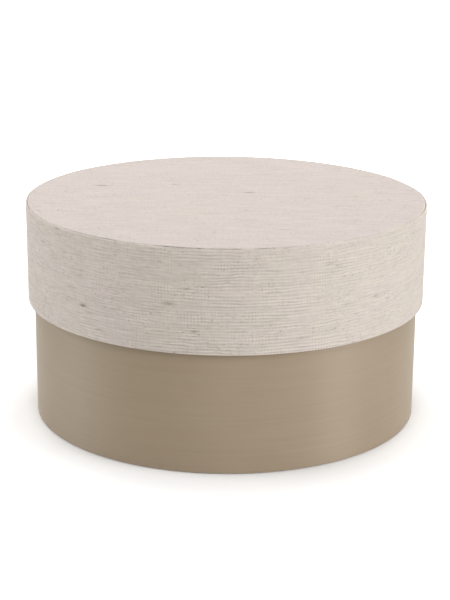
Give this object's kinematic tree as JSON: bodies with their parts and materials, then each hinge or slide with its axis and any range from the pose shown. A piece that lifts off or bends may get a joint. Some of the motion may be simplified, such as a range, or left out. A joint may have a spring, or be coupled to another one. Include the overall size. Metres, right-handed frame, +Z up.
{
  "type": "round gift box",
  "caption": "Round rigid gift box with a deep lift-off lid: slubby linen lid, plain cloth base, board walls and paper linings.",
  "frame": {"origin": "centre of the underside, where the box rests", "axes": "+Z up along the box's own axis, the way the lid lifts; the lapped seams of the covers are at the back, +Y; the front is -Y"},
  "size_m": [0.25, 0.2502, 0.136],
  "materials": {
    "greyboard": "uncoated solid greyboard",
    "lid_linen": "slubby linen weave, matte, pale warm beige",
    "base_cloth": "fine ribbed book cloth, matte taupe",
    "lining_paper": "uncoated ivory paper",
    "foot_paper": "uncoated taupe paper"
  },
  "bodies": {
    "base": {"base_floor_board": "greyboard", "base_wall_board": "greyboard", "base_wall_cover": "base_cloth", "base_wall_lining": "lining_paper", "base_floor_lining": "lining_paper", "base_foot_paper": "foot_paper"},
    "lid": {"lid_top_board": "greyboard", "lid_rim_board": "greyboard", "lid_top_cover": "lid_linen", "lid_rim_cover": "lid_linen", "lid_rim_lining": "lining_paper", "lid_top_lining": "lining_paper"}
  },
  "joints": [
    {"name": "lid_lift", "type": "slide", "parent": "base", "child": "lid", "axis": [0, 0, 1], "range_m": [0, 0.1]}
  ]
}
